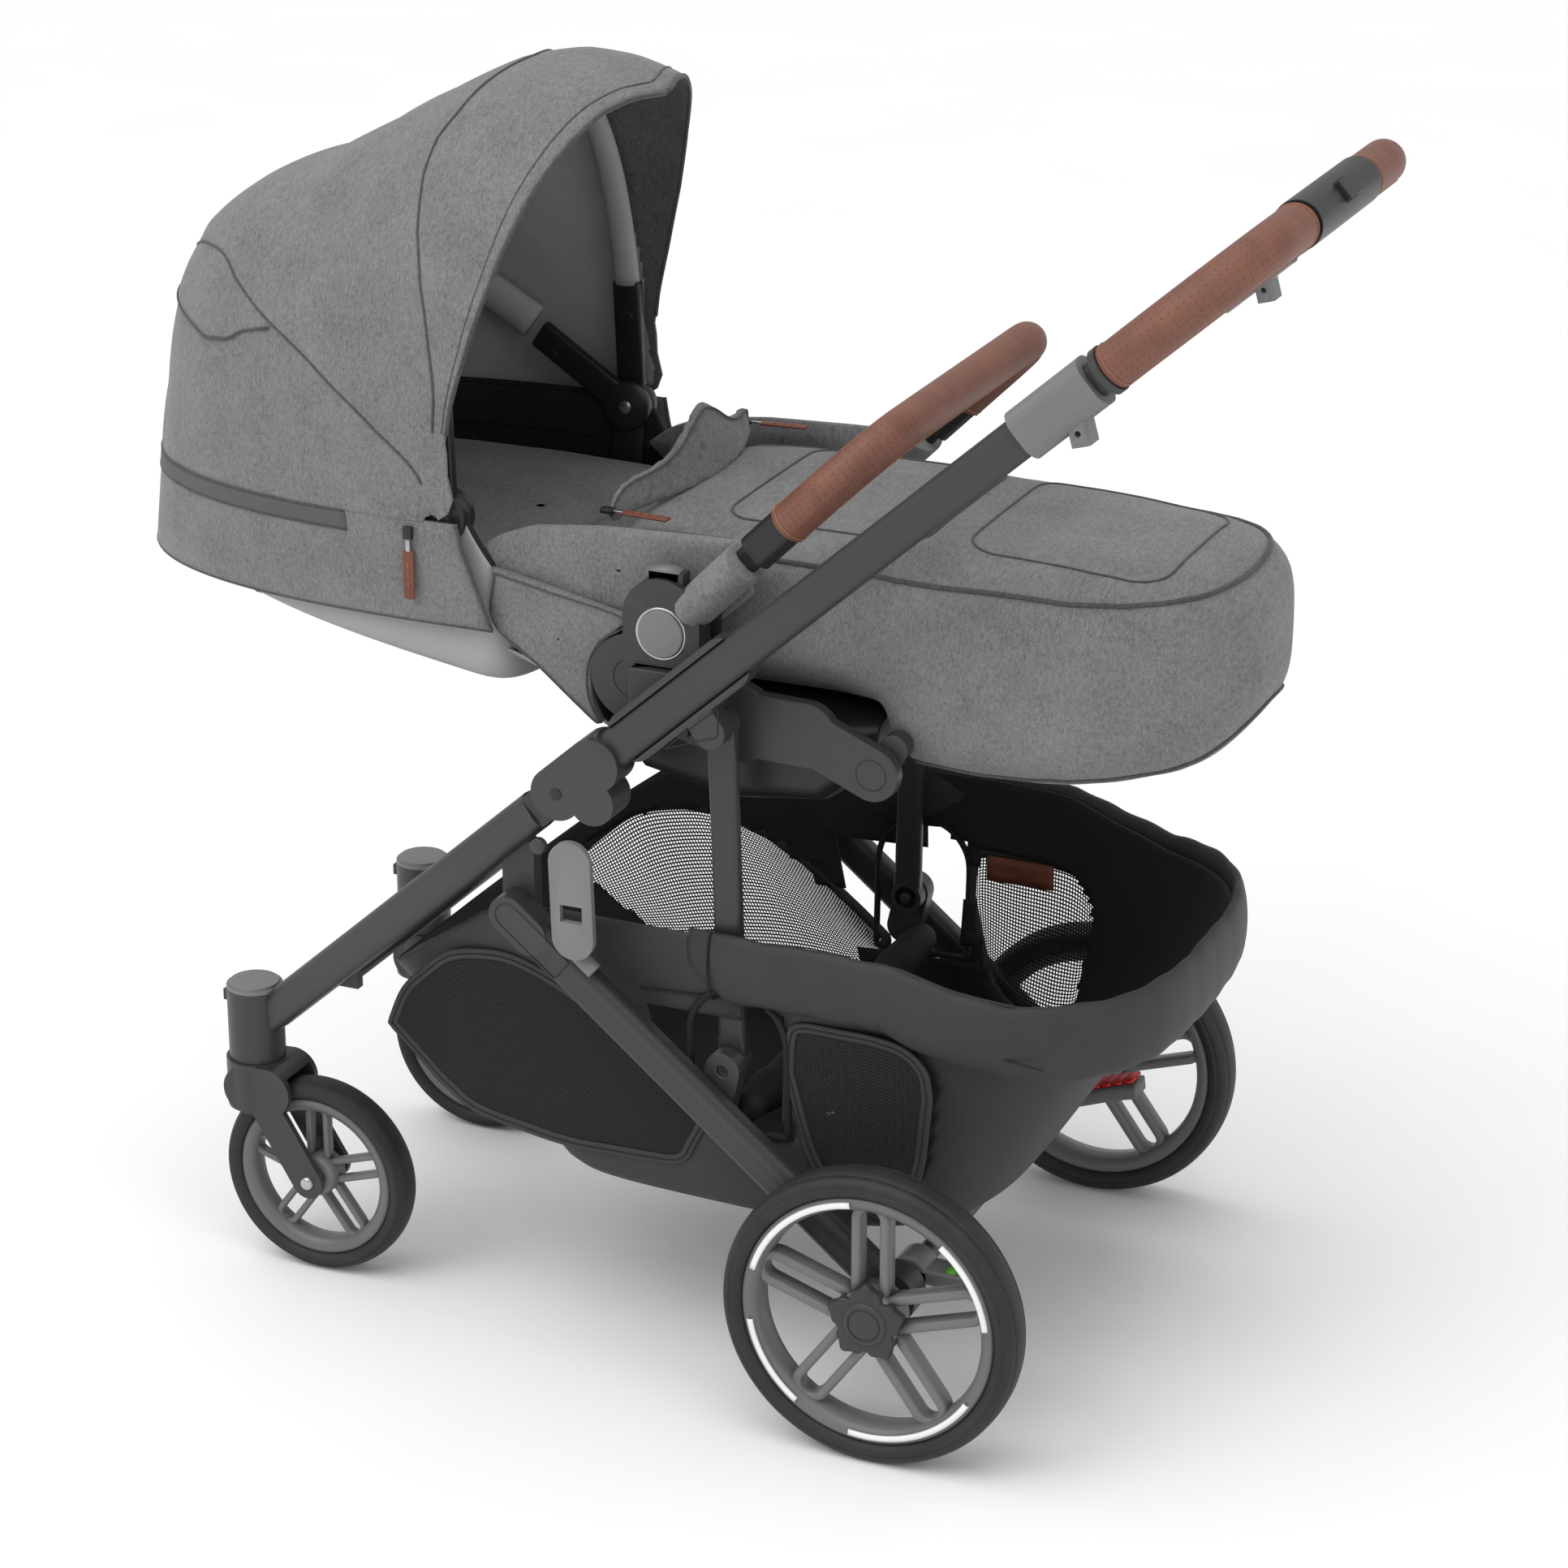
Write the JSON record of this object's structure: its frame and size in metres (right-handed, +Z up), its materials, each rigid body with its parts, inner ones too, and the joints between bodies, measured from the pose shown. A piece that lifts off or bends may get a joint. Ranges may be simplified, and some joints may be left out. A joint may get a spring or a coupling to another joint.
{
  "type": "baby stroller",
  "caption": "Four-wheeled baby stroller with a flat parent-facing seat, zip hood, padded foot cover, bumper bar, leather-wrapped handle, swivel casters, brake pedals and a mesh basket.",
  "frame": {"origin": "on the floor under the middle of the whole stroller", "axes": "+X back towards the handle, +Y to the stroller's right-hand side, +Z up"},
  "size_m": [1.0597, 0.582, 1.0795],
  "materials": {
    "frame": "satin charcoal powder coat",
    "pins": "satin",
    "accent": "light grey moulded plastic",
    "leather": "tan grained leather with stitching",
    "black_plastic": "black moulded plastic",
    "black_fabric": "black mesh and coated fabric",
    "rim": "mid grey moulded rim",
    "tyre": "foam-filled rubber",
    "grey_fabric": "grey melange twill",
    "lining": "light grey lining"
  },
  "bodies": {
    "chassis": {"front_leg_left": "frame", "front_leg_right": "frame", "caster_housing_left": "frame", "caster_housing_right": "frame", "caster_caps": "accent", "front_cross_tube": "frame"},
    "upper_frame": {"upper_tube_left": "frame", "upper_tube_right": "frame", "fold_housing_left": "frame", "fold_housing_right": "frame", "frame_pins": "pins", "strut_brackets": "frame", "seat_mounts": "frame"},
    "collar_left": {"fold_collar_left": "accent"},
    "collar_right": {"fold_collar_right": "accent"},
    "handle": {"handle_bar": "frame", "handle_grip_left": "leather", "handle_grip_right": "leather", "handle_housing": "black_plastic"},
    "handle_key": {"handle_button": "black_plastic"},
    "strut_left": {"fold_strut_left": "frame"},
    "strut_right": {"fold_strut_right": "frame"},
    "rear_frame": {"rear_leg_left": "frame", "rear_leg_right": "frame", "rear_axle_tube": "frame", "rear_cross_tube": "black_fabric", "strut_feet": "frame", "basket": "black_fabric", "basket_rim": "black_fabric"},
    "rear_wheel_left": {"rear_rim_left": "rim", "rear_tyre_left": "tyre"},
    "rear_wheel_right": {"rear_rim_right": "rim", "rear_tyre_right": "tyre"},
    "caster_left": {"caster_fork_left": "frame"},
    "caster_right": {"caster_fork_right": "frame"},
    "front_wheel_left": {"front_rim_left": "rim", "front_tyre_left": "tyre"},
    "front_wheel_right": {"front_rim_right": "rim", "front_tyre_right": "tyre"},
    "brake_left": {"brake_pedal_left": "accent"},
    "brake_right": {"brake_pedal_right": "accent"},
    "latch": {"storage_latch": "accent"},
    "seat_base": {"seat_shell": "black_plastic", "side_arms": "frame", "seat_adaptor_left": "frame", "seat_adaptor_right": "frame", "boot_body": "grey_fabric", "bumper_sockets": "black_plastic"},
    "seat_key_left": {"seat_button_left": "accent"},
    "seat_key_right": {"seat_button_right": "accent"},
    "seat_back": {"back_rails": "frame", "head_tub": "grey_fabric", "mattress": "lining", "hood_rear": "grey_fabric", "hood_mid": "grey_fabric"},
    "hood_bow": {"hood_front": "grey_fabric"},
    "calf_rest": {"boot_foot": "grey_fabric", "calf_lugs": "frame"},
    "bumper": {"bumper_bar": "black_plastic", "bumper_grip": "leather"}
  },
  "joints": [
    {"name": "frame_fold", "type": "hinge", "parent": "chassis", "child": "upper_frame", "pos_m": [-0.055, 0, 0.53], "axis": [0, -1, 0], "range_deg": [0, 40]},
    {"name": "rear_frame_fold", "type": "hinge", "parent": "chassis", "child": "rear_frame", "pos_m": [-0.105, 0, 0.412], "axis": [0, -1, 0], "range_deg": [0, 25.3]},
    {"name": "strut_left_turn", "type": "hinge", "parent": "upper_frame", "child": "strut_left", "pos_m": [0.078, -0.207, 0.6], "axis": [0, -1, 0], "range_deg": [-19.4, 0]},
    {"name": "strut_right_turn", "type": "hinge", "parent": "upper_frame", "child": "strut_right", "pos_m": [0.078, 0.207, 0.6], "axis": [0, -1, 0], "range_deg": [-19.4, 0]},
    {"name": "handle_extend", "type": "slide", "parent": "upper_frame", "child": "handle", "axis": [0.7485, 0, 0.6631], "range_m": [0, 0.1]},
    {"name": "handle_button_press", "type": "slide", "parent": "handle", "child": "handle_key", "axis": [-0.7485, 0, -0.6631], "range_m": [0, 0.003], "stiffness_N_per_m": 800},
    {"name": "collar_left_pull", "type": "slide", "parent": "upper_frame", "child": "collar_left", "axis": [0.7485, 0, 0.6631], "range_m": [0, 0.009], "stiffness_N_per_m": 400},
    {"name": "collar_right_pull", "type": "slide", "parent": "upper_frame", "child": "collar_right", "axis": [0.7485, 0, 0.6631], "range_m": [0, 0.009], "stiffness_N_per_m": 400},
    {"name": "rear_wheel_left_spin", "type": "hinge", "parent": "rear_frame", "child": "rear_wheel_left", "pos_m": [0.24, -0.2714, 0.13], "axis": [0, 1, 0], "continuous": true},
    {"name": "rear_wheel_right_spin", "type": "hinge", "parent": "rear_frame", "child": "rear_wheel_right", "pos_m": [0.24, 0.2714, 0.13], "axis": [0, 1, 0], "continuous": true},
    {"name": "caster_left_swivel", "type": "hinge", "parent": "chassis", "child": "caster_left", "pos_m": [-0.401, -0.157, 0.196], "axis": [0, 0, 1], "continuous": true},
    {"name": "caster_right_swivel", "type": "hinge", "parent": "chassis", "child": "caster_right", "pos_m": [-0.401, 0.157, 0.196], "axis": [0, 0, 1], "continuous": true},
    {"name": "front_wheel_left_spin", "type": "hinge", "parent": "caster_left", "child": "front_wheel_left", "pos_m": [-0.341, -0.157, 0.091], "axis": [0, 1, 0], "continuous": true},
    {"name": "front_wheel_right_spin", "type": "hinge", "parent": "caster_right", "child": "front_wheel_right", "pos_m": [-0.341, 0.157, 0.091], "axis": [0, 1, 0], "continuous": true},
    {"name": "brake_right_press", "type": "hinge", "parent": "rear_frame", "child": "brake_right", "pos_m": [0.24, 0.182, 0.13], "axis": [0, 1, 0], "range_deg": [0, 15]},
    {"name": "brake_left_press", "type": "hinge", "parent": "rear_frame", "child": "brake_left", "pos_m": [0.24, -0.182, 0.13], "axis": [0, 1, 0], "range_deg": [-15, 0]},
    {"name": "storage_latch_swing", "type": "hinge", "parent": "rear_frame", "child": "latch", "pos_m": [-0.04, -0.2395, 0.3891], "axis": [0.7743, 0, -0.6329], "range_deg": [0, 50]},
    {"name": "seat_lift", "type": "slide", "parent": "upper_frame", "child": "seat_base", "axis": [0, 0, 1], "range_m": [0, 0.25]},
    {"name": "seat_button_left_press", "type": "slide", "parent": "seat_base", "child": "seat_key_left", "axis": [0, 1, 0], "range_m": [0, 0.003], "stiffness_N_per_m": 800},
    {"name": "seat_button_right_press", "type": "slide", "parent": "seat_base", "child": "seat_key_right", "axis": [0, -1, 0], "range_m": [0, 0.003], "stiffness_N_per_m": 800},
    {"name": "seat_recline", "type": "hinge", "parent": "seat_base", "child": "seat_back", "pos_m": [-0.013, 0, 0.617], "axis": [0, 1, 0], "range_deg": [0, 40]},
    {"name": "hood_fold", "type": "hinge", "parent": "seat_back", "child": "hood_bow", "pos_m": [-0.185, 0, 0.732], "axis": [0, -1, 0], "range_deg": [0, 50], "deforming": ["hood_mid"]},
    {"name": "calf_drop", "type": "hinge", "parent": "seat_base", "child": "calf_rest", "pos_m": [0.198, 0, 0.565], "axis": [0, 1, 0], "range_deg": [0, 25]},
    {"name": "bumper_pull", "type": "slide", "parent": "seat_base", "child": "bumper", "axis": [0.712, 0, 0.7021], "range_m": [0, 0.08]}
  ],
  "couplings": [
    {"joint": "rear_frame_fold", "follows": "frame_fold", "ratio": 0.629},
    {"joint": "strut_left_turn", "follows": "frame_fold", "ratio": -0.4795},
    {"joint": "strut_right_turn", "follows": "frame_fold", "ratio": -0.4795},
    {"joint": "brake_left_press", "follows": "brake_right_press", "ratio": -1}
  ]
}
